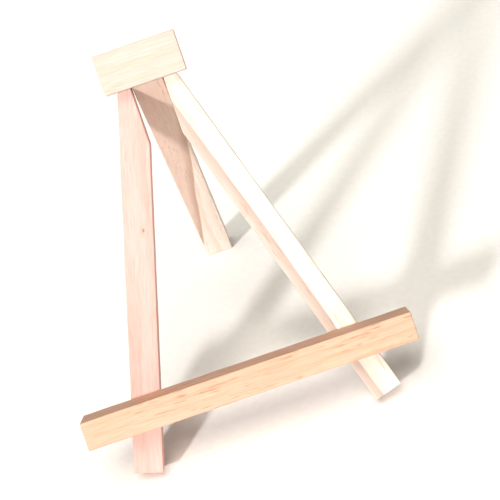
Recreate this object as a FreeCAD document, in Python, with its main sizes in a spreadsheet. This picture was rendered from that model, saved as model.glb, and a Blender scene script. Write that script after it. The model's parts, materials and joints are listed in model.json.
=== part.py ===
"""Small folding A-frame display stand made of square-cut softwood sticks.

Two front legs are glued behind a cap block at the top and a display ledge near the feet. The
rear leg swings on a steel pin between the legs' cheeks, behind the cap, and its bevelled head
comes to rest on the cap's back when the stand is fully open.

The frame's own plane is the plane of the legs' front faces. Places on it are given as a height
along that plane, from the legs' feet, and a depth, positive towards the back. The part's origin is
on the floor under the middle of the open stand, +Z up, +X across it and +Y towards the rear leg.
"""
import FreeCAD, Part
import math
import os
import Sketcher

DRIVING_SIZES = (
    # front legs
    ("stick_width", 9.0, "front leg across its face"),
    ("stick_thickness", 7.5, "front leg from front to back"),
    ("foot_spread", 77.0, "between the front legs' centre lines at the feet"),
    ("neck_width", 4.2, "what is left of a front leg at the cap's lower edge"),
    ("top_margin", 3.5, "legs' tops below the cap's top edge"),
    # how the open stand sits
    ("lean_angle", 27.8, "front frame back from upright, degrees"),
    ("opening_angle", 56.6, "rear leg away from the front frame when fully open, degrees"),
    # cap block
    ("cap_width", 25.0, "across the stand"),
    ("cap_height", 12.0, "along the front frame"),
    ("cap_thickness", 4.8, "in front of the legs"),
    ("cap_rise", 111.0, "feet to the cap's lower edge"),
    # display ledge
    ("ledge_length", 102.6, "across the stand"),
    ("ledge_height", 8.8, "along the front frame"),
    ("ledge_depth", 10.6, "in front of the legs"),
    ("ledge_rise", 14.6, "feet to the ledge's lower edge"),
    # rear leg and its pivot
    ("rear_width", 9.6, "rear leg across the stand"),
    ("cheek_gap", 0.3, "rear leg to each front leg's cheek"),
    ("face_gap", 0.2, "rear leg to the front and back planes of the folded frame"),
    ("head_flat", 2.0, "flat left on top of the rear leg's bevelled head"),
    ("nose_gap", 0.1, "rear leg's head to the cap's back as it swings"),
    ("pivot_rise", 2.5, "cap's lower edge to the pin's centre"),
    ("pin_diameter", 1.6, "steel pin"),
    ("pin_clearance", 0.05, "radial, pin to the rear leg's bore"),
    ("pin_recess", 0.1, "pin's ends below the legs' outer faces"),
)

WORKED_OUT_SIZES = (
    # inner faces of the two cheeks and the front legs' splay between foot and neck
    ("cheek_half", "rear_width / 2 + cheek_gap"),
    ("neck_inset", "foot_spread / 2 - cheek_half - neck_width"),
    ("neck_reach", "sqrt(neck_inset ^ 2 + cap_rise ^ 2)"),
    ("splay_angle", "asin(stick_width / 2 / neck_reach) + atan(neck_inset / cap_rise)"),
    ("foot_half_width", "stick_width / 2 * cos(splay_angle)"),
    ("foot_half_rise", "stick_width / 2 * sin(splay_angle)"),
    ("foot_outer", "foot_spread / 2 + foot_half_width"),
    ("foot_inner", "foot_spread / 2 - foot_half_width"),
    ("bend_rise", "(foot_inner - cheek_half) / tan(splay_angle) - foot_half_rise"),
    ("leg_top", "cap_rise + cap_height - top_margin"),
    ("leg_top_outer", "foot_outer - (leg_top - foot_half_rise) * tan(splay_angle)"),
    # pivot on the front frame, midway through the legs
    ("pivot_height", "cap_rise + pivot_rise"),
    ("pivot_depth", "stick_thickness / 2"),
    ("pin_radius", "pin_diameter / 2"),
    ("pin_top_outer", "foot_outer - (pivot_height + pin_radius - foot_half_rise) * tan(splay_angle)"),
    ("pin_length", "2 * (pin_top_outer - pin_recess)"),
    # rear leg: its slope, the nose that clears the cap and the bevel that stops on it
    ("rear_angle", "opening_angle - lean_angle"),
    ("rear_half", "stick_thickness / 2 - face_gap"),
    ("nose_radius", "pivot_depth - nose_gap"),
    ("nose_start", "sqrt(nose_radius ^ 2 - rear_half ^ 2)"),
    ("nose_end_front", "nose_radius * cos(opening_angle)"),
    ("nose_end_rise", "nose_radius * sin(opening_angle)"),
    ("head_edge", "rear_half - head_flat"),
    ("head_rise", "(nose_radius + head_edge * cos(opening_angle)) / sin(opening_angle)"),
    # where the leaning frame stands: its feet meet the floor at their lower inner back corners
    ("frame_lift", "foot_half_rise * cos(lean_angle) + stick_thickness * sin(lean_angle)"),
    ("frame_set", "foot_half_rise * sin(lean_angle) - stick_thickness * cos(lean_angle)"),
    ("pivot_lift", "frame_lift + pivot_height * cos(lean_angle) - pivot_depth * sin(lean_angle)"),
    ("pivot_set", "frame_set + pivot_height * sin(lean_angle) + pivot_depth * cos(lean_angle)"),
    ("rear_reach", "(pivot_lift - rear_half * sin(rear_angle)) / cos(rear_angle)"),
    # middle of the open stand from front to back
    ("ledge_front", "frame_set + ledge_rise * sin(lean_angle) - ledge_depth * cos(lean_angle)"),
    ("rear_foot_back", "pivot_set + rear_reach * sin(rear_angle) + rear_half * cos(rear_angle)"),
    ("middle", "(ledge_front + rear_foot_back) / 2"),
)

doc = FreeCAD.newDocument("DisplayStand")

SIZE_NAMES = {entry[0] for entry in DRIVING_SIZES + WORKED_OUT_SIZES}


def write_sizes():
    """Put the driving sizes in the sheet as plain numbers and the worked-out ones as formulas."""
    sheet = doc.addObject("Spreadsheet::Sheet", "Sizes")
    row = 0
    for alias, value, note in DRIVING_SIZES:
        row += 1
        sheet.set(f"A{row}", alias)
        sheet.set(f"B{row}", str(value))
        sheet.set(f"C{row}", note)
        sheet.setAlias(f"B{row}", alias)
    for alias, formula in WORKED_OUT_SIZES:
        row += 1
        sheet.set(f"A{row}", alias)
        sheet.setAlias(f"B{row}", alias)
        sheet.set(f"B{row}", "=" + formula)
    doc.recompute()
    return sheet


sizes = write_sizes()


def sized(expression):
    """The expression with each size's name read from the sheet, which binds a property to it."""
    words = expression.split()
    return " ".join("Sizes." + word if word in SIZE_NAMES else word for word in words)


def value_of(expression):
    """The number that a sized expression has now."""
    return float(sizes.evalExpression(sized(expression)))


def new_body(label):
    """A body of its own for one piece."""
    body = doc.addObject("PartDesign::Body", label)
    body.Label = label
    return body


def new_sketch(body, plane_role, name):
    """A sketch on one of the body's own origin planes."""
    plane = next(item for item in body.Origin.OriginFeatures if item.Role == plane_role)
    sketch = body.newObject("Sketcher::SketchObject", name)
    sketch.AttachmentSupport = [(plane, "")]
    sketch.MapMode = "FlatFace"
    return sketch


def bind(sketch, kind, geometry, vertex, expression):
    """Tie one coordinate of a vertex, measured from the sketch's origin, to the sheet."""
    constraint = Sketcher.Constraint(kind, -1, 1, geometry, vertex, value_of(expression))
    number = sketch.addConstraint(constraint)
    sketch.setExpression(f"Constraints[{number}]", sized(expression))


def draw_outline(sketch, corners):
    """A closed outline of straight edges through corners given as pairs of expressions."""
    points = [FreeCAD.Vector(value_of(across), value_of(along), 0) for across, along in corners]
    for start, end in zip(points, points[1:] + points[:1]):
        sketch.addGeometry(Part.LineSegment(start, end))
    for number in range(len(corners)):
        following = (number + 1) % len(corners)
        sketch.addConstraint(Sketcher.Constraint("Coincident", number, 2, following, 1))
    for number, (across, along) in enumerate(corners):
        bind(sketch, "DistanceX", number, 1, across)
        bind(sketch, "DistanceY", number, 1, along)


def draw_circle(sketch, across, along, radius):
    """A circle whose centre and radius follow the sheet."""
    centre = FreeCAD.Vector(value_of(across), value_of(along), 0)
    number = sketch.addGeometry(Part.Circle(centre, FreeCAD.Vector(0, 0, 1), value_of(radius)))
    bind(sketch, "DistanceX", number, 3, across)
    bind(sketch, "DistanceY", number, 3, along)
    constraint = sketch.addConstraint(Sketcher.Constraint("Radius", number, value_of(radius)))
    sketch.setExpression(f"Constraints[{constraint}]", sized(radius))


def pad(body, sketch, length, backwards=False, both_ways=False):
    """Raise a sketch into a solid of the given length."""
    feature = body.newObject("PartDesign::Pad", sketch.Name + "_pad")
    feature.Profile = sketch
    feature.Reversed = backwards
    feature.Midplane = both_ways
    feature.setExpression("Length", sized(length))
    return feature


def bore_across(body, radius):
    """A hole for the pin, right through the body along X; it has to take some material away."""
    doc.recompute()
    before = body.Shape.Volume
    sketch = new_sketch(body, "YZ_Plane", body.Name + "_bore")
    draw_circle(sketch, "pivot_depth", "pivot_height", radius)
    pocket = body.newObject("PartDesign::Pocket", body.Name + "_bore_cut")
    pocket.Profile = sketch
    pocket.Type = "ThroughAll"
    pocket.Midplane = True
    doc.recompute()
    if not body.Shape.Volume < before:
        raise RuntimeError(body.Label + ": the pin's hole cut nothing")


def stand_on_frame(piece):
    """Lean a piece of the front frame back and set it on the floor."""
    piece.Placement = FreeCAD.Placement(
        FreeCAD.Vector(0, value_of("frame_set - middle"), value_of("frame_lift")),
        FreeCAD.Rotation(FreeCAD.Vector(-1, 0, 0), value_of("lean_angle")),
    )
    piece.setExpression("Placement.Base.y", sized("frame_set - middle"))
    piece.setExpression("Placement.Base.z", sized("frame_lift"))
    piece.setExpression("Placement.Rotation.Angle", sized("lean_angle"))


def front_leg(label, side):
    """A splayed stick, sawn square at the foot, with its top cut parallel to the rear leg."""
    sign = "1" if side > 0 else "-1"
    corners = [
        (f"{sign} * foot_outer", "foot_half_rise"),
        (f"{sign} * foot_inner", "-1 * foot_half_rise"),
        (f"{sign} * cheek_half", "bend_rise"),
        (f"{sign} * cheek_half", "leg_top"),
        (f"{sign} * leg_top_outer", "leg_top"),
    ]
    body = new_body(label)
    sketch = new_sketch(body, "XZ_Plane", label + "_face")
    draw_outline(sketch, corners)
    pad(body, sketch, "stick_thickness", backwards=True)
    bore_across(body, "pin_radius")
    stand_on_frame(body)
    return body


def cross_bar(label, width, rise, height, depth):
    """A plain rectangular piece glued across the legs' front faces."""
    corners = [
        (f"-1 * {width} / 2", rise),
        (f"{width} / 2", rise),
        (f"{width} / 2", f"{rise} + {height}"),
        (f"-1 * {width} / 2", f"{rise} + {height}"),
    ]
    body = new_body(label)
    sketch = new_sketch(body, "XZ_Plane", label + "_face")
    draw_outline(sketch, corners)
    pad(body, sketch, depth)
    stand_on_frame(body)
    return body


def rear_leg(label):
    """A straight stick with a square foot, a round nose that clears the cap and a stop bevel.

    Its own origin is the pin's centre, with +Z up the leg and +Y towards its back.
    """
    body = new_body(label)
    sketch = new_sketch(body, "YZ_Plane", label + "_side")
    opening = math.radians(value_of("opening_angle"))
    start_turn = math.atan2(value_of("nose_start"), -value_of("rear_half"))
    end_turn = math.pi - opening
    front = value_of("-1 * rear_half")
    back = value_of("rear_half")
    foot = value_of("-1 * rear_reach")
    head = value_of("head_rise")
    nose_circle = Part.Circle(FreeCAD.Vector(), FreeCAD.Vector(0, 0, 1), value_of("nose_radius"))
    nose_start = FreeCAD.Vector(front, value_of("nose_start"), 0)
    nose_end = FreeCAD.Vector(value_of("-1 * nose_end_front"), value_of("nose_end_rise"), 0)
    bevel_end = FreeCAD.Vector(value_of("head_edge"), head, 0)
    back_top = FreeCAD.Vector(back, head, 0)
    back_foot = FreeCAD.Vector(back, foot, 0)
    front_foot = FreeCAD.Vector(front, foot, 0)
    nose = sketch.addGeometry(Part.ArcOfCircle(nose_circle, end_turn, start_turn))
    bevel = sketch.addGeometry(Part.LineSegment(nose_end, bevel_end))
    top = sketch.addGeometry(Part.LineSegment(bevel_end, back_top))
    rear = sketch.addGeometry(Part.LineSegment(back_top, back_foot))
    base = sketch.addGeometry(Part.LineSegment(back_foot, front_foot))
    face = sketch.addGeometry(Part.LineSegment(front_foot, nose_start))
    for first, first_end, second, second_end in (
        (nose, 1, bevel, 1),
        (bevel, 2, top, 1),
        (top, 2, rear, 1),
        (rear, 2, base, 1),
        (base, 2, face, 1),
        (face, 2, nose, 2),
        (nose, 3, -1, 1),
    ):
        sketch.addConstraint(Sketcher.Constraint("Coincident", first, first_end, second, second_end))
    radius = sketch.addConstraint(Sketcher.Constraint("Radius", nose, value_of("nose_radius")))
    sketch.setExpression(f"Constraints[{radius}]", sized("nose_radius"))
    bind(sketch, "DistanceX", bevel, 1, "-1 * nose_end_front")
    bind(sketch, "DistanceX", bevel, 2, "head_edge")
    bind(sketch, "DistanceY", bevel, 2, "head_rise")
    bind(sketch, "DistanceX", rear, 1, "rear_half")
    bind(sketch, "DistanceY", rear, 1, "head_rise")
    bind(sketch, "DistanceX", base, 1, "rear_half")
    bind(sketch, "DistanceY", base, 1, "-1 * rear_reach")
    bind(sketch, "DistanceX", face, 1, "-1 * rear_half")
    bind(sketch, "DistanceY", face, 1, "-1 * rear_reach")
    bind(sketch, "DistanceX", face, 2, "-1 * rear_half")
    draw_circle(sketch, "0", "0", "pin_radius + pin_clearance")
    pad(body, sketch, "rear_width", both_ways=True)
    body.Placement = FreeCAD.Placement(
        FreeCAD.Vector(0, value_of("pivot_set - middle"), value_of("pivot_lift")),
        FreeCAD.Rotation(FreeCAD.Vector(1, 0, 0), value_of("rear_angle")),
    )
    body.setExpression("Placement.Base.y", sized("pivot_set - middle"))
    body.setExpression("Placement.Base.z", sized("pivot_lift"))
    body.setExpression("Placement.Rotation.Angle", sized("rear_angle"))
    return body


def pivot_pin(label):
    """A headless steel pin through both cheeks and the rear leg, along X."""
    body = new_body(label)
    sketch = new_sketch(body, "YZ_Plane", label + "_end")
    draw_circle(sketch, "pivot_depth", "pivot_height", "pin_radius")
    pad(body, sketch, "pin_length", both_ways=True)
    stand_on_frame(body)
    return body


pieces = [
    front_leg("front_leg_left", -1),
    front_leg("front_leg_right", 1),
    cross_bar("cap_block", "cap_width", "cap_rise", "cap_height", "cap_thickness"),
    cross_bar("display_ledge", "ledge_length", "ledge_rise", "ledge_height", "ledge_depth"),
    rear_leg("rear_leg"),
    pivot_pin("pivot_pin"),
]
doc.recompute()

for item in doc.Objects:
    if "Invalid" in item.State or "Error" in item.State:
        raise RuntimeError(item.Label + " could not be worked out")
for piece in pieces:
    if piece.Shape.isNull() or not piece.Shape.isValid() or len(piece.Shape.Solids) != 1:
        raise RuntimeError(piece.Label + " is not one valid solid")

os.makedirs("parts", exist_ok=True)
for piece in pieces:
    piece.Shape.exportStep(f"parts/{piece.Label}.step")
    box = piece.Shape.BoundBox
    print(
        f"{piece.Label}: volume {piece.Shape.Volume:.1f} mm3, "
        f"X {box.XMin:.2f} to {box.XMax:.2f}, Y {box.YMin:.2f} to {box.YMax:.2f}, "
        f"Z {box.ZMin:.2f} to {box.ZMax:.2f}"
    )
print(f"splay {value_of('splay_angle'):.2f} degrees, rear leg below the pin {value_of('rear_reach'):.2f} mm")
print(f"pivot at Y {value_of('pivot_set - middle'):.3f}, Z {value_of('pivot_lift'):.3f}")
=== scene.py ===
import json
import math

import bmesh
import bpy
from mathutils import Matrix, Vector, noise

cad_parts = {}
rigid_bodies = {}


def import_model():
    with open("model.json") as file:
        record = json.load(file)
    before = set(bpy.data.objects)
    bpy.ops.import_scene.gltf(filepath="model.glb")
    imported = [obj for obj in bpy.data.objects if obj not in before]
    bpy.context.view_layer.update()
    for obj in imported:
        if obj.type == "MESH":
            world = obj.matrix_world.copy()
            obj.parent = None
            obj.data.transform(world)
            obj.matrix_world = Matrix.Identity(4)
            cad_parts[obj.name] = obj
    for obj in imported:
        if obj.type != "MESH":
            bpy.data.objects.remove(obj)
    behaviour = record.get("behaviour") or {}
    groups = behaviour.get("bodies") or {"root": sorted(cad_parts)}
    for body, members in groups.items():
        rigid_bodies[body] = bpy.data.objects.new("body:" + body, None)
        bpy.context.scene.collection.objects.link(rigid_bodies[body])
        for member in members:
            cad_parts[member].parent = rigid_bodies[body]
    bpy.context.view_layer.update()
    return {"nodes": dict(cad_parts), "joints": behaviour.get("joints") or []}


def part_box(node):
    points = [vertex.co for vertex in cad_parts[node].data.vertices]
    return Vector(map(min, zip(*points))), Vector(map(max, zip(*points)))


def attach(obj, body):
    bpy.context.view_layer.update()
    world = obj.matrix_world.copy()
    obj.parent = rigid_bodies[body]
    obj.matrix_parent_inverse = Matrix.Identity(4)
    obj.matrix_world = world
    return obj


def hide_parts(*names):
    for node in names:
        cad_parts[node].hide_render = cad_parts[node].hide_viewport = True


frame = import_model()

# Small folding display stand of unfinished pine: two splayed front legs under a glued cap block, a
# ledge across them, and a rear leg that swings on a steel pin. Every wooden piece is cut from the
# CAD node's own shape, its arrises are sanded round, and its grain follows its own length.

bl_info = {
    "name": "Folding display stand",
    "version": (1, 0, 0),
    "blender": (4, 5, 0),
    "location": "View3D > Sidebar > Stand",
    "description": "Builds a small folding wooden display stand and its studio",
    "category": "Object",
}

MM = 0.001                                   # metres in a millimetre

# from the frame
SWING = frame["joints"][0]                   # the rear leg's hinge
PIVOT = Vector(SWING["pos_m"])
FRONT_BODY = SWING["parent"]
REAR_BODY = SWING["child"]
PIN_LOW, PIN_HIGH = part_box("pivot_pin")
PIN_RADIUS = (PIN_HIGH.z - PIN_LOW.z) / 2
RIM_REACH = 1.3 * PIN_RADIUS                 # only the rim of the pin's hole is this near its axis

# shapes
FLAT_ANGLE = math.radians(0.5)               # triangles that turn less than this are one face
ARRIS_ANGLE = math.radians(12)               # edges that turn more than this are sanded round
CREASE_ANGLE = math.radians(50)              # edges that turn more than this are shaded sharp
SAND_STEP = 2.5 * MM                         # between cuts, so that an arris can wander
LONG_DRIFT = 9 * MM                          # the arrises' slow wander and their small dents
SHORT_DRIFT = 2.2 * MM
ROD_SIDES = 40
ROD_TURN = Matrix.Rotation(math.pi / 2, 4, "Y")    # lays an upright rod across the stand
DRILL_LENGTH = 60 * MM
PIN_CHAMFER = 0.15 * MM

# looks
BOARD_STEP = 37.0                            # millimetres of board from one stick's grain to the next
RING_SLOPE = 0.012                           # how much the rings change along the stick
WAVE_BEND = 4.6                              # millimetres that the slow waves bend the rings
RIPPLE_BEND = 0.5
KNOT_BEND = 2.2
KNOT_STRETCH = (1.7, 1.0, 2.5)               # a knot's reach along, across and through the stick
PULP_SIZE = 2.5 * MM
FACTOR, BELOW, ABOVE = 0, 6, 7               # the inputs of a Mix node that blends colours
BLENDED = 2                                  # and its output


# ---------------------------------------------------------------- colours and nodes


def linear(code):
    """An sRGB hex colour as linear red, green and blue, with a full alpha."""
    parts = [int(code[start:start + 2], 16) / 255 for start in (1, 3, 5)]
    parts = [part / 12.92 if part <= 0.04045 else ((part + 0.055) / 1.055) ** 2.4 for part in parts]
    return (*parts, 1.0)


def add_node(tree, kind, inputs=None, output=0, **settings):
    """Add a node with its settings, its input values and its links, and give one of its outputs."""
    node = tree.nodes.new(kind)
    for name, value in settings.items():
        setattr(node, name, value)
    for name, value in (inputs or {}).items():
        if isinstance(value, bpy.types.NodeSocket):
            tree.links.new(value, node.inputs[name])
        else:
            node.inputs[name].default_value = value
    return node.outputs[output]


def new_material(name):
    """A material with a Principled surface, its node tree and that surface's node."""
    material = bpy.data.materials.new(name)
    material.use_nodes = True
    return material, material.node_tree, material.node_tree.nodes["Principled BSDF"]


RESIN = linear("#A17A5C")
KNOT_STAIN = linear("#C08A62")
KNOT_CORE = linear("#6E4630")
END_GRAIN = linear("#C79A70")


# ---------------------------------------------------------------- sizes and colours


class StandWood(bpy.types.PropertyGroup):
    """The looks of the pine sticks."""

    cap_colour: bpy.props.FloatVectorProperty(
        name="Cap", description="Earlywood of the cap block", subtype="COLOR", size=4,
        min=0, max=1, default=linear("#D3C0B7"))
    left_colour: bpy.props.FloatVectorProperty(
        name="Left leg", description="Earlywood of the left front leg", subtype="COLOR", size=4,
        min=0, max=1, default=linear("#E0B5AC"))
    right_colour: bpy.props.FloatVectorProperty(
        name="Right leg", description="Earlywood of the right front leg", subtype="COLOR", size=4,
        min=0, max=1, default=linear("#E7DACE"))
    ledge_colour: bpy.props.FloatVectorProperty(
        name="Ledge", description="Earlywood of the display ledge", subtype="COLOR", size=4,
        min=0, max=1, default=linear("#DAB29B"))
    rear_colour: bpy.props.FloatVectorProperty(
        name="Rear leg", description="Earlywood of the rear leg", subtype="COLOR", size=4,
        min=0, max=1, default=linear("#EBDED4"))
    arris: bpy.props.FloatProperty(
        name="Arris", description="Radius that the sanding leaves on the long edges",
        unit="LENGTH", subtype="DISTANCE", min=0.0001, max=0.001, default=0.35 * MM)
    unevenness: bpy.props.FloatProperty(
        name="Unevenness", description="How far the sanded arrises wander",
        unit="LENGTH", subtype="DISTANCE", min=0, max=0.0003, default=0.1 * MM)


class StandStudio(bpy.types.PropertyGroup):
    """The floor and the lights."""

    floor_colour: bpy.props.FloatVectorProperty(
        name="Floor", description="Pale card that the stand is on", subtype="COLOR", size=4,
        min=0, max=1, default=linear("#F7F5F2"))
    key_strength: bpy.props.FloatProperty(
        name="Window light", description="Strength of the low light from the left", min=0,
        default=3.3)
    overhead_strength: bpy.props.FloatProperty(
        name="Overhead light", description="Strength of the wide soft light above", min=0,
        default=2.2)
    fill_strength: bpy.props.FloatProperty(
        name="Fill", description="Brightness of the pale room all round", min=0, default=0.25)


# ---------------------------------------------------------------- shapes


def cad_solid(node):
    """A merged copy of a CAD node with its pin bore filled in and its flat faces whole."""
    shape = bmesh.new()
    shape.from_mesh(frame["nodes"][node].data)
    bmesh.ops.remove_doubles(shape, verts=shape.verts, dist=0.001 * MM)
    rim = [vertex for vertex in shape.verts if (vertex.co - PIVOT).yz.length < RIM_REACH]
    touched = {face for vertex in rim for face in vertex.link_faces}
    holed = [face for face in shape.faces if any(same_plane(face, other) for other in touched)]
    bmesh.ops.delete(shape, geom=list(set(holed) | touched), context="FACES")
    bmesh.ops.delete(shape, geom=[v for v in shape.verts if not v.link_faces], context="VERTS")
    open_edges = [edge for edge in shape.edges if edge.is_boundary]
    if open_edges:
        bmesh.ops.holes_fill(shape, edges=open_edges, sides=0)
    bmesh.ops.dissolve_limit(
        shape, angle_limit=FLAT_ANGLE, verts=shape.verts[:], edges=shape.edges[:])
    bmesh.ops.recalc_face_normals(shape, faces=shape.faces)
    return shape


def same_plane(face, other):
    """Whether two faces lie in one plane."""
    apart = (face.calc_center_median() - other.calc_center_median()).dot(other.normal)
    return face.normal.dot(other.normal) > 0.9999 and abs(apart) < 0.005 * MM


def grain_axes(shape):
    """Directions along the stick, across its broadest face and through it, and its middle."""
    longest = max(shape.edges, key=lambda edge: edge.calc_length())
    along = (longest.verts[1].co - longest.verts[0].co).normalized()

    # up a leg, and to the right along the cap and the ledge
    if along.x + along.z < 0:
        along = -along
    sides = [face for face in shape.faces if abs(face.normal.dot(along)) < 0.5]
    broad = max(sides, key=lambda face: face.calc_area())
    through = broad.normal.copy()
    if through.y > 0:
        through = -through
    across = through.cross(along).normalized()
    middle = Vector()
    for axis in (along, across, through):
        reach = [vertex.co.dot(axis) for vertex in shape.verts]
        middle += axis * (min(reach) + max(reach)) / 2
    return along, across, through, middle


def sand(shape, axes, radius, wander, seed):
    """Round the arrises, cut the stick into short lengths and let the arrises wander inwards."""
    along, across, through, middle = axes
    arrises = [edge for edge in shape.edges
               if len(edge.link_faces) == 2 and edge.calc_face_angle() > ARRIS_ANGLE]
    bmesh.ops.bevel(
        shape, geom=arrises, offset=radius, offset_type="OFFSET", segments=3, profile=0.5,
        affect="EDGES", material=-1, clamp_overlap=True)
    reach = [(vertex.co - middle).dot(along) for vertex in shape.verts]
    cut = min(reach) + SAND_STEP
    while cut < max(reach) - SAND_STEP / 2:
        bmesh.ops.bisect_plane(
            shape, geom=shape.verts[:] + shape.edges[:] + shape.faces[:],
            plane_co=middle + along * cut, plane_no=along)
        cut += SAND_STEP
    for vertex in shape.verts:
        offset = vertex.co - middle
        spot = Vector((offset.dot(along), offset.dot(across), offset.dot(through)))
        drift = noise.noise(spot / LONG_DRIFT + Vector((seed, 0, 0)))
        fine = noise.noise(spot / SHORT_DRIFT + Vector((0, seed, 0)))
        depth = wander * max(0.0, 0.35 + 0.8 * drift + 0.3 * fine)
        vertex.co -= vertex.normal * min(depth, wander)


def bore_radius(node):
    """The radius of the hole that the pin goes through in a CAD node."""
    reach = [(vertex.co - PIVOT).yz.length for vertex in frame["nodes"][node].data.vertices]
    return max(distance for distance in reach if distance < RIM_REACH)


def bore(piece, radius):
    """Drill the pin's hole through a stick, across the stand."""
    drill = bmesh.new()
    bmesh.ops.create_cone(
        drill, cap_ends=True, segments=ROD_SIDES, radius1=radius, radius2=radius,
        depth=DRILL_LENGTH, matrix=Matrix.Translation(PIVOT) @ ROD_TURN)
    tool_mesh = bpy.data.meshes.new("drill")
    drill.to_mesh(tool_mesh)
    drill.free()
    tool = bpy.data.objects.new("drill", tool_mesh)
    bpy.context.scene.collection.objects.link(tool)
    cut = piece.modifiers.new("Pin bore", "BOOLEAN")
    cut.operation = "DIFFERENCE"
    cut.solver = "EXACT"
    cut.object = tool
    bpy.context.view_layer.update()
    drilled = piece.evaluated_get(bpy.context.evaluated_depsgraph_get())
    blank = piece.data
    piece.data = bpy.data.meshes.new_from_object(drilled)
    piece.data.name = piece.name
    piece.modifiers.clear()
    bpy.data.meshes.remove(blank)
    bpy.data.objects.remove(tool)
    bpy.data.meshes.remove(tool_mesh)


def new_piece(name, shape, node, body, material):
    """Make an object of a shape, standing for a CAD node and riding on its body."""
    mesh = bpy.data.meshes.new(name)
    shape.to_mesh(mesh)
    shape.free()
    mesh.materials.append(material)
    piece = bpy.data.objects.new(name, mesh)
    bpy.context.scene.collection.objects.link(piece)
    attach(piece, body)
    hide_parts(node)
    return piece


def soften_shading(piece):
    """Shade the arrises round and keep the broad faces flat."""
    piece.data.shade_smooth()
    piece.data.set_sharp_from_angle(angle=CREASE_ANGLE)
    normals = piece.modifiers.new("Flat faces", "WEIGHTED_NORMAL")
    normals.mode = "FACE_AREA"
    normals.weight = 80
    normals.keep_sharp = True


# ---------------------------------------------------------------- materials


def wood_patterns(tree, place):
    """Soft variation from 0 to 1, one output for each thing in the wood that varies."""
    # how long, wide and deep the features are in millimetres, then their detail and roughness
    patterns = {
        "wave": ((46, 11, 11), 1.5, 0.5),
        "ripple": ((9, 3, 3), 2.0, 0.5),
        "fade": ((60, 7, 7), 1.0, 0.5),
        "blotch": ((30, 9, 9), 2.0, 0.5),
        "cluster": ((22, 5, 5), 1.0, 0.5),
        "duct": ((5.5, 0.5, 0.5), 1.5, 0.5),
        "fibre": ((7, 0.28, 0.28), 3.0, 0.62),     # real fibres are far finer than these
        "pores": ((0.34, 0.34, 0.34), 1.0, 0.5),   # and so are real pores
    }
    grain = {}
    for pattern, (size, detail, roughness) in patterns.items():
        fitted = add_node(
            tree, "ShaderNodeVectorMath", {0: place, 1: size}, operation="DIVIDE")
        grain[pattern] = add_node(
            tree, "ShaderNodeTexNoise",
            {"Vector": fitted, "Scale": 1.0, "Detail": detail, "Roughness": roughness}, "Fac")
    return grain


def knot_distance(tree, place, centre):
    """The distance from a knot's centre, in the knot's own long shape."""
    offset = add_node(
        tree, "ShaderNodeVectorMath", {0: place, 1: centre}, operation="SUBTRACT")
    offset = add_node(
        tree, "ShaderNodeVectorMath", {0: offset, 1: KNOT_STRETCH}, operation="DIVIDE")
    return add_node(tree, "ShaderNodeVectorMath", {0: offset}, "Value", operation="LENGTH")


def ring_distance(tree, place, grain, pith):
    """The distance from the pith, bent by slow waves along the stick."""
    flat = add_node(
        tree, "ShaderNodeVectorMath", {0: place, 1: (RING_SLOPE, 1, 1)}, operation="MULTIPLY")
    radius = add_node(
        tree, "ShaderNodeVectorMath", {0: flat, 1: (0, *pith)}, "Value", operation="DISTANCE")
    radius = add_node(
        tree, "ShaderNodeMath", {0: grain["wave"], 1: WAVE_BEND, 2: radius},
        operation="MULTIPLY_ADD")
    return add_node(
        tree, "ShaderNodeMath", {0: grain["ripple"], 1: RIPPLE_BEND, 2: radius},
        operation="MULTIPLY_ADD")


def latewood_bands(tree, radius, ring_gap, grain):
    """Latewood darkens slowly outwards in each ring, stops short and is fainter in some stretches."""
    ring = add_node(tree, "ShaderNodeMath", {0: radius, 1: ring_gap}, operation="DIVIDE")
    ring = add_node(tree, "ShaderNodeMath", {0: ring}, operation="FRACT")
    rise = add_node(
        tree, "ShaderNodeMapRange", {"Value": ring, "From Min": 0.25, "From Max": 0.84},
        interpolation_type="SMOOTHSTEP")
    fall = add_node(
        tree, "ShaderNodeMapRange", {"Value": ring, "From Min": 0.9, "To Min": 1.0, "To Max": 0.0},
        interpolation_type="SMOOTHSTEP")
    depth = add_node(
        tree, "ShaderNodeMapRange",
        {"Value": grain["fade"], "From Min": 0.3, "From Max": 0.7, "To Min": 0.35},
        interpolation_type="SMOOTHSTEP")
    band = add_node(tree, "ShaderNodeMath", {0: rise, 1: fall}, operation="MULTIPLY")
    return add_node(tree, "ShaderNodeMath", {0: band, 1: depth}, operation="MULTIPLY")


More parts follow.
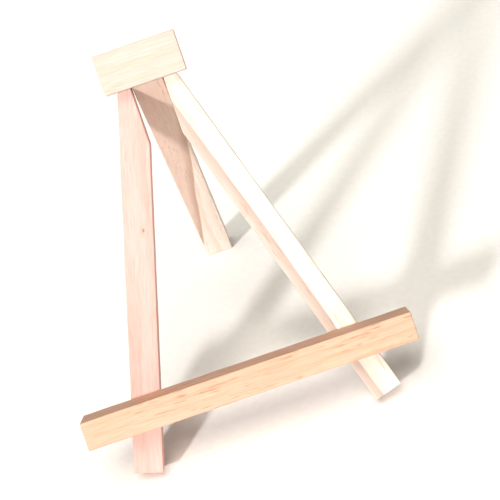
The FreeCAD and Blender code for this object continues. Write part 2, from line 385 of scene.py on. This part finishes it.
def lay_heartwood(tree, colour, place, grain, heart, start):
    """Heartwood on one side of a line along the stick, darkest beside the line."""
    line_start, line_slope, edge_colour, heart_colour = heart
    lengthwise = add_node(tree, "ShaderNodeSeparateXYZ", {"Vector": place}, "X")
    sideways = add_node(tree, "ShaderNodeSeparateXYZ", {"Vector": place}, "Y")
    line = add_node(
        tree, "ShaderNodeMath",
        {0: lengthwise, 1: line_slope, 2: line_start - line_slope * start},
        operation="MULTIPLY_ADD")
    beside = add_node(tree, "ShaderNodeMath", {0: sideways, 1: line}, operation="SUBTRACT")
    sway = add_node(
        tree, "ShaderNodeMapRange",
        {"Value": grain["wave"], "From Min": 0.3, "From Max": 0.7, "To Min": -0.5, "To Max": 0.5},
        interpolation_type="SMOOTHSTEP")
    beside = add_node(tree, "ShaderNodeMath", {0: beside, 1: sway}, operation="ADD")
    inside = add_node(
        tree, "ShaderNodeMapRange", {"Value": beside, "From Min": -0.25, "From Max": 0.3},
        interpolation_type="SMOOTHSTEP")
    amount = add_node(tree, "ShaderNodeMath", {0: inside, 1: 0.85}, operation="MULTIPLY")
    colour = add_node(
        tree, "ShaderNodeMix", {FACTOR: amount, BELOW: colour, ABOVE: heart_colour}, BLENDED,
        data_type="RGBA")
    near = add_node(
        tree, "ShaderNodeMapRange",
        {"Value": beside, "From Min": 0.3, "From Max": 3.2, "To Min": 0.6, "To Max": 0.0},
        interpolation_type="SMOOTHSTEP")
    amount = add_node(tree, "ShaderNodeMath", {0: inside, 1: near}, operation="MULTIPLY")
    return add_node(
        tree, "ShaderNodeMix", {FACTOR: amount, BELOW: colour, ABOVE: edge_colour}, BLENDED,
        data_type="RGBA")


def duct_dashes(tree, grain):
    """Resin ducts, short along the stick and in loose groups."""
    ducts = add_node(
        tree, "ShaderNodeMapRange", {"Value": grain["duct"], "From Min": 0.54, "From Max": 0.72},
        interpolation_type="SMOOTHSTEP")
    groups = add_node(
        tree, "ShaderNodeMapRange", {"Value": grain["cluster"], "From Min": 0.45, "From Max": 0.6},
        interpolation_type="SMOOTHSTEP")
    return add_node(tree, "ShaderNodeMath", {0: ducts, 1: groups}, operation="MULTIPLY")


def stain_knot(tree, colour, away, size):
    """A knot's dark core in a wider brown stain."""
    for inner, outer, strength, stain in ((0.7, 2.6, 0.3, KNOT_STAIN), (0.4, 1.0, 0.6, KNOT_CORE)):
        amount = add_node(
            tree, "ShaderNodeMapRange",
            {"Value": away, "From Min": size * inner, "From Max": size * outer,
             "To Min": strength, "To Max": 0.0},
            interpolation_type="SMOOTHSTEP")
        colour = add_node(
            tree, "ShaderNodeMix", {FACTOR: amount, BELOW: colour, ABOVE: stain}, BLENDED,
            data_type="RGBA")
    return colour


def sawn_ends(tree, along):
    """Where the surface is cut across the fibres, 0 to 1."""
    facing = add_node(
        tree, "ShaderNodeVectorMath",
        {0: add_node(tree, "ShaderNodeTexCoord", output="Normal"), 1: along}, "Value",
        operation="DOT_PRODUCT")
    facing = add_node(tree, "ShaderNodeMath", {0: facing}, operation="ABSOLUTE")
    return add_node(
        tree, "ShaderNodeMapRange", {"Value": facing, "From Min": 0.75, "From Max": 0.93},
        interpolation_type="SMOOTHSTEP")


def pine(name, axes, early, late, ring_gap, pith, streaks, flush, flush_amount, seed,
         knot=None, heart=None):
    """Pine sawn from a board and sanded by hand, with no finish on it.

    Earlywood and darker latewood make the rings, which show as lines along the faces and as arcs on
    the sawn ends. Resin ducts are short brown dashes along the grain. The raw surface is matt, and
    sanding leaves the latewood a little proud.

    The nodes measure in millimetres from the stick's middle. Pith is where the rings' centre lies
    across and through the stick. Flush is the colour that the board changes to in places. A knot is
    its centre and its size. Heart is the place and slope of the heartwood's line, the colour beside
    the line and the colour away from it.
    """
    along, across, through, middle = axes
    material, tree, shader = new_material(name)

    # X runs along the stick, Y across its broad face and Z through it, and each stick is another
    # stretch of the same board
    turn = Matrix((along, across, through))
    stretch = Vector((seed * BOARD_STEP, 0, 0))
    place = add_node(tree, "ShaderNodeMapping", {
        "Vector": add_node(tree, "ShaderNodeTexCoord", output="Object"),
        "Scale": (1 / MM, 1 / MM, 1 / MM),
        "Rotation": turn.to_euler(),
        "Location": stretch - (turn @ middle) / MM,
    })
    grain = wood_patterns(tree, place)

    radius = ring_distance(tree, place, grain, pith)
    if knot is not None:
        knot_place, knot_size = knot
        away = knot_distance(tree, place, Vector(knot_place) + stretch)
        bulge = add_node(
            tree, "ShaderNodeMapRange",
            {"Value": away, "From Max": knot_size * 4.5, "To Min": KNOT_BEND, "To Max": 0.0},
            interpolation_type="SMOOTHSTEP")
        radius = add_node(tree, "ShaderNodeMath", {0: radius, 1: bulge}, operation="ADD")
    latewood = latewood_bands(tree, radius, ring_gap, grain)
    amount = add_node(tree, "ShaderNodeMath", {0: latewood, 1: 0.62}, operation="MULTIPLY")
    colour = add_node(
        tree, "ShaderNodeMix", {FACTOR: amount, BELOW: early, ABOVE: late}, BLENDED,
        data_type="RGBA")

    # the board's colour changes slowly along it, and fibres shade it
    amount = add_node(
        tree, "ShaderNodeMapRange",
        {"Value": grain["blotch"], "From Min": 0.38, "From Max": 0.66, "To Max": flush_amount},
        interpolation_type="SMOOTHSTEP")
    colour = add_node(
        tree, "ShaderNodeMix", {FACTOR: amount, BELOW: colour, ABOVE: flush}, BLENDED,
        data_type="RGBA")
    if heart is not None:
        colour = lay_heartwood(tree, colour, place, grain, heart, stretch.x)
    amount = add_node(
        tree, "ShaderNodeMapRange",
        {"Value": grain["fibre"], "From Min": 0.25, "From Max": 0.75, "To Max": 0.3},
        interpolation_type="SMOOTHSTEP")
    colour = add_node(
        tree, "ShaderNodeMix", {FACTOR: amount, BELOW: colour, ABOVE: late}, BLENDED,
        data_type="RGBA", blend_type="MULTIPLY")

    dashes = duct_dashes(tree, grain)
    amount = add_node(tree, "ShaderNodeMath", {0: dashes, 1: streaks}, operation="MULTIPLY")
    colour = add_node(
        tree, "ShaderNodeMix", {FACTOR: amount, BELOW: colour, ABOVE: RESIN}, BLENDED,
        data_type="RGBA")
    if knot is not None:
        colour = stain_knot(tree, colour, away, knot_size)

    # sawn ends drink the light and show open pores
    sawn = sawn_ends(tree, along)
    amount = add_node(
        tree, "ShaderNodeMapRange",
        {"Value": grain["pores"], "From Min": 0.35, "From Max": 0.7, "To Min": 0.55,
         "To Max": 0.95},
        interpolation_type="SMOOTHSTEP")
    amount = add_node(tree, "ShaderNodeMath", {0: sawn, 1: amount}, operation="MULTIPLY")
    colour = add_node(
        tree, "ShaderNodeMix", {FACTOR: amount, BELOW: colour, ABOVE: END_GRAIN}, BLENDED,
        data_type="RGBA", blend_type="MULTIPLY")

    # fibres and latewood stand proud, and ducts and open pores are sunk
    open_pores = add_node(
        tree, "ShaderNodeMath", {0: sawn, 1: grain["pores"]}, operation="MULTIPLY")
    height = add_node(
        tree, "ShaderNodeMath", {0: grain["fibre"], 1: 0.6}, operation="MULTIPLY")
    for layer, lift in ((latewood, 0.5), (dashes, -0.6), (open_pores, -0.9)):
        height = add_node(
            tree, "ShaderNodeMath", {0: layer, 1: lift, 2: height}, operation="MULTIPLY_ADD")
    bump = add_node(
        tree, "ShaderNodeBump", {"Height": height, "Strength": 0.55, "Distance": 0.09 * MM})
    rough = add_node(
        tree, "ShaderNodeMapRange",
        {"Value": grain["fibre"], "From Min": 0.2, "From Max": 0.8, "To Min": 0.56,
         "To Max": 0.74},
        interpolation_type="SMOOTHSTEP")
    tree.links.new(colour, shader.inputs["Base Color"])
    tree.links.new(rough, shader.inputs["Roughness"])
    tree.links.new(bump, shader.inputs["Normal"])
    shader.inputs["IOR"].default_value = 1.53
    shader.inputs["Specular IOR Level"].default_value = 0.32
    return material


def drawn_wire(name):
    """Mild steel wire, drawn and cut: grey, with fine lines along it and a dull oxide bloom."""
    material, tree, shader = new_material(name)
    spot = add_node(tree, "ShaderNodeTexCoord", output="Object")
    grain = {}
    for pattern, size in (
            ("lines", (3.0 * MM, 0.12 * MM, 0.12 * MM)),   # real drawing lines are finer
            ("bloom", (0.9 * MM, 0.6 * MM, 0.6 * MM))):
        fitted = add_node(
            tree, "ShaderNodeVectorMath", {0: spot, 1: size}, operation="DIVIDE")
        grain[pattern] = add_node(
            tree, "ShaderNodeTexNoise", {"Vector": fitted, "Scale": 1.0, "Detail": 2.0}, "Fac")
    amount = add_node(
        tree, "ShaderNodeMapRange", {"Value": grain["bloom"], "From Min": 0.35, "From Max": 0.7},
        interpolation_type="SMOOTHSTEP")
    colour = add_node(
        tree, "ShaderNodeMix",
        {FACTOR: amount, BELOW: linear("#A9A7A3"), ABOVE: linear("#7D756C")}, BLENDED,
        data_type="RGBA")
    rough = add_node(
        tree, "ShaderNodeMapRange",
        {"Value": grain["bloom"], "From Min": 0.3, "From Max": 0.7, "To Min": 0.34,
         "To Max": 0.55},
        interpolation_type="SMOOTHSTEP")
    bump = add_node(
        tree, "ShaderNodeBump",
        {"Height": grain["lines"], "Strength": 0.3, "Distance": 0.02 * MM})
    tree.links.new(colour, shader.inputs["Base Color"])
    tree.links.new(rough, shader.inputs["Roughness"])
    tree.links.new(bump, shader.inputs["Normal"])
    shader.inputs["Metallic"].default_value = 1.0
    return material


def pale_card(name, colour):
    """Uncoated white card: even, matt, with the faint mottle of its pulp."""
    material, tree, shader = new_material(name)
    fitted = add_node(
        tree, "ShaderNodeVectorMath",
        {0: add_node(tree, "ShaderNodeTexCoord", output="Object"), 1: (PULP_SIZE,) * 3},
        operation="DIVIDE")
    mottle = add_node(
        tree, "ShaderNodeTexNoise", {"Vector": fitted, "Scale": 1.0, "Detail": 3.0}, "Fac")
    amount = add_node(
        tree, "ShaderNodeMapRange", {"Value": mottle, "From Min": 0.3, "From Max": 0.7},
        interpolation_type="SMOOTHSTEP")
    darker = (*(part * 0.965 for part in colour[:3]), 1.0)
    blended = add_node(
        tree, "ShaderNodeMix", {FACTOR: amount, BELOW: colour, ABOVE: darker}, BLENDED,
        data_type="RGBA")
    tree.links.new(blended, shader.inputs["Base Color"])
    shader.inputs["Roughness"].default_value = 0.85
    shader.inputs["Specular IOR Level"].default_value = 0.2
    return material


# ---------------------------------------------------------------- the pieces


def wooden_piece(name, node, body, seed, drilled, **looks):
    """One stick: the CAD node's shape, sanded, drilled if the pin goes through it, and grained."""
    wood = bpy.context.scene.stand_wood
    shape = cad_solid(node)
    axes = grain_axes(shape)
    sand(shape, axes, wood.arris, wood.unevenness, seed)
    material = pine("Pine_sanded_" + name, axes, seed=seed, **looks)
    piece = new_piece(name, shape, node, body, material)
    if drilled:
        bore(piece, bore_radius(node))
    soften_shading(piece)


class STAND_OT_front_legs(bpy.types.Operator):
    """The two splayed front legs"""

    bl_idname = "stand.front_legs"
    bl_label = "Front legs"

    def execute(self, context):
        wood = context.scene.stand_wood
        wooden_piece(
            "leg_left_pine", "front_leg_left", FRONT_BODY, 1.0, True,
            early=tuple(wood.left_colour), late=linear("#CF9F90"), ring_gap=2.6, pith=(9.0, 34.0),
            streaks=0.15, flush=linear("#E2BDB6"), flush_amount=0.4,
            knot=((12.0, -1.5, 3.7), 0.45))
        wooden_piece(
            "leg_right_pine", "front_leg_right", FRONT_BODY, 2.0, True,
            early=tuple(wood.right_colour), late=linear("#DCC4B2"), ring_gap=3.1, pith=(-22.0, 20.0),
            streaks=0.4, flush=linear("#EBE3D9"), flush_amount=0.6,
            # a darker, pinker strip down the inner third of the leg's face, deepest next to its line
            heart=(1.5, 0.0, linear("#AF998F"), linear("#C9B7AC")))
        return {"FINISHED"}


class STAND_OT_cap_block(bpy.types.Operator):
    """The block glued over the tops of the front legs"""

    bl_idname = "stand.cap_block"
    bl_label = "Cap block"

    def execute(self, context):
        wood = context.scene.stand_wood
        wooden_piece(
            "cap_block_pine", "cap_block", FRONT_BODY, 3.0, False,
            early=tuple(wood.cap_colour), late=linear("#CDB9A6"), ring_gap=3.4, pith=(26.0, 30.0),
            streaks=0.35, flush=linear("#D2BFB3"), flush_amount=0.5)
        return {"FINISHED"}


class STAND_OT_display_ledge(bpy.types.Operator):
    """The stick that the plate stands on"""

    bl_idname = "stand.display_ledge"
    bl_label = "Display ledge"

    def execute(self, context):
        wood = context.scene.stand_wood
        wooden_piece(
            "display_ledge_pine", "display_ledge", FRONT_BODY, 4.0, False,
            early=tuple(wood.ledge_colour), late=linear("#C69A79"), ring_gap=2.4, pith=(17.0, 12.0),
            streaks=0.75, flush=linear("#D3AA91"), flush_amount=0.6)
        return {"FINISHED"}


class STAND_OT_rear_leg(bpy.types.Operator):
    """The leg that swings on the pin"""

    bl_idname = "stand.rear_leg"
    bl_label = "Rear leg"

    def execute(self, context):
        wood = context.scene.stand_wood
        wooden_piece(
            "rear_leg_pine", "rear_leg", REAR_BODY, 5.0, True,
            early=tuple(wood.rear_colour), late=linear("#DCC6B6"), ring_gap=2.4, pith=(12.0, 26.0),
            streaks=0.4, flush=linear("#E4D2C6"), flush_amount=0.3,
            heart=(-2.13, -0.133, linear("#AF8A73"), linear("#D9BFB1")))
        return {"FINISHED"}


class STAND_OT_pivot_pin(bpy.types.Operator):
    """The steel pin that the rear leg turns on"""

    bl_idname = "stand.pivot_pin"
    bl_label = "Pivot pin"

    def execute(self, context):
        shape = bmesh.new()
        bmesh.ops.create_cone(
            shape, cap_ends=True, segments=ROD_SIDES, radius1=PIN_RADIUS, radius2=PIN_RADIUS,
            depth=PIN_HIGH.x - PIN_LOW.x,
            matrix=Matrix.Translation((PIN_LOW + PIN_HIGH) / 2) @ ROD_TURN)
        rims = [edge for edge in shape.edges if abs(edge.calc_face_angle() - math.pi / 2) < 0.1]
        bmesh.ops.bevel(
            shape, geom=rims, offset=PIN_CHAMFER, offset_type="OFFSET", segments=3, profile=0.5,
            affect="EDGES", material=-1)
        bmesh.ops.recalc_face_normals(shape, faces=shape.faces)
        steel = drawn_wire("Steel_drawn_wire")
        soften_shading(new_piece("pivot_pin_wire", shape, "pivot_pin", FRONT_BODY, steel))
        return {"FINISHED"}


# ---------------------------------------------------------------- the studio

CAMERA_PLACE = Vector((0.01978, -0.34088, 0.26246))
CAMERA_HEADING = math.radians(1.32)          # to the left of straight ahead
CAMERA_DIP = math.radians(34.05)             # below level
CAMERA_ROLL = math.radians(19.62)            # lowers the ledge's left end in the view
CAMERA_LENS = 90.4                           # millimetres
CAMERA_SENSOR = 36.0

# each light is told by the direction towards it, and its spread is how wide it is in the sky
KEY_TOWARDS = Vector((-0.562, -0.733, 0.383))
KEY_SPREAD = math.radians(6)
KEY_COLOUR = (1.0, 0.97, 0.96)
OVERHEAD_TOWARDS = Vector((-0.1, -0.45, 0.89))
OVERHEAD_SPREAD = math.radians(34)
OVERHEAD_COLOUR = (1.0, 0.96, 0.87)
ROOM_COLOUR = (1.0, 0.98, 0.92, 1.0)
HORIZON_LIFT = 3.0                           # how much brighter the room is low down
FLOOR_SIZE = 12.0                            # metres, so that its edges are out of sight


class STAND_OT_studio(bpy.types.Operator):
    """The pale floor, the soft light and the camera"""

    bl_idname = "stand.studio"
    bl_label = "Studio"

    def execute(self, context):
        self.add_floor(context)
        studio = context.scene.stand_studio
        self.add_light(context, "window", studio.key_strength, KEY_TOWARDS, KEY_SPREAD, KEY_COLOUR)
        self.add_light(
            context, "overhead", studio.overhead_strength, OVERHEAD_TOWARDS, OVERHEAD_SPREAD,
            OVERHEAD_COLOUR)
        self.add_room(context)
        self.add_camera(context)
        context.scene.view_settings.view_transform = "Standard"
        return {"FINISHED"}

    def add_floor(self, context):
        """A wide card under the stand, in the plane of its feet."""
        shape = bmesh.new()
        bmesh.ops.create_grid(shape, x_segments=8, y_segments=8, size=FLOOR_SIZE / 2)
        mesh = bpy.data.meshes.new("floor_card")
        shape.to_mesh(mesh)
        shape.free()
        colour = tuple(context.scene.stand_studio.floor_colour)
        mesh.materials.append(pale_card("Card_uncoated", colour))
        floor = bpy.data.objects.new("floor_card", mesh)
        context.scene.collection.objects.link(floor)

    def add_light(self, context, name, strength, towards, spread, colour):
        """An even light from far off, as wide in the sky as its spread."""
        lamp = bpy.data.lights.new(name, "SUN")
        lamp.energy = strength
        lamp.angle = spread
        lamp.color = colour
        light = bpy.data.objects.new(name, lamp)
        light.location = towards
        light.rotation_mode = "QUATERNION"
        light.rotation_quaternion = towards.to_track_quat("Z", "Y")
        context.scene.collection.objects.link(light)

    def add_room(self, context):
        """A pale, slightly warm room that fills the shadows, brighter near the floor."""
        world = bpy.data.worlds.new("pale_room")
        world.use_nodes = True
        tree = world.node_tree
        fill = context.scene.stand_studio.fill_strength
        way = add_node(tree, "ShaderNodeTexCoord", output="Generated")
        height = add_node(tree, "ShaderNodeSeparateXYZ", {"Vector": way}, "Z")
        strength = add_node(
            tree, "ShaderNodeMapRange",
            {"Value": height, "From Min": 0.02, "From Max": 0.3, "To Min": fill * HORIZON_LIFT,
             "To Max": fill},
            interpolation_type="SMOOTHSTEP")
        background = tree.nodes["Background"]
        background.inputs["Color"].default_value = ROOM_COLOUR
        tree.links.new(strength, background.inputs["Strength"])
        context.scene.world = world

    def add_camera(self, context):
        """A camera above the front, tipped to one side, with the stand filling its view."""
        heading, dip, roll = CAMERA_HEADING, CAMERA_DIP, CAMERA_ROLL
        level = Vector((math.cos(heading), math.sin(heading), 0))
        onward = Vector((-math.sin(heading), math.cos(heading), 0))
        ahead = onward * math.cos(dip) - Vector((0, 0, math.sin(dip)))
        top = level.cross(ahead)
        right = level * math.cos(roll) - top * math.sin(roll)
        top = top * math.cos(roll) + level * math.sin(roll)
        lens = bpy.data.cameras.new("camera")
        lens.sensor_width = CAMERA_SENSOR
        lens.lens = CAMERA_LENS
        lens.clip_start = 0.01
        camera = bpy.data.objects.new("camera", lens)
        turned = Matrix((right, top, -ahead)).transposed().to_4x4()
        camera.matrix_world = Matrix.Translation(CAMERA_PLACE) @ turned
        context.scene.collection.objects.link(camera)
        context.scene.camera = camera


# ---------------------------------------------------------------- the add-on

OPERATORS = (
    STAND_OT_front_legs,
    STAND_OT_cap_block,
    STAND_OT_display_ledge,
    STAND_OT_rear_leg,
    STAND_OT_pivot_pin,
    STAND_OT_studio,
)


class STAND_PT_panel(bpy.types.Panel):
    """Lists the stand's pieces and sizes"""

    bl_idname = "STAND_PT_panel"
    bl_label = "Display stand"
    bl_space_type = "VIEW_3D"
    bl_region_type = "UI"
    bl_category = "Stand"

    def draw(self, context):
        for group in (context.scene.stand_wood, context.scene.stand_studio):
            for name in group.__annotations__:
                self.layout.prop(group, name)
        for operator in OPERATORS:
            self.layout.operator(operator.bl_idname)


CLASSES = (StandWood, StandStudio, *OPERATORS, STAND_PT_panel)


def register():
    """Add the classes and the scene's settings."""
    for item in CLASSES:
        bpy.utils.register_class(item)
    bpy.types.Scene.stand_wood = bpy.props.PointerProperty(type=StandWood)
    bpy.types.Scene.stand_studio = bpy.props.PointerProperty(type=StandStudio)


def unregister():
    """Take them away again."""
    del bpy.types.Scene.stand_studio
    del bpy.types.Scene.stand_wood
    for item in reversed(CLASSES):
        bpy.utils.unregister_class(item)


def main():
    """Build the stand and its studio."""
    register()
    bpy.ops.stand.front_legs()
    bpy.ops.stand.cap_block()
    bpy.ops.stand.display_ledge()
    bpy.ops.stand.rear_leg()
    bpy.ops.stand.pivot_pin()
    bpy.ops.stand.studio()


if __name__ == "__main__":
    main()
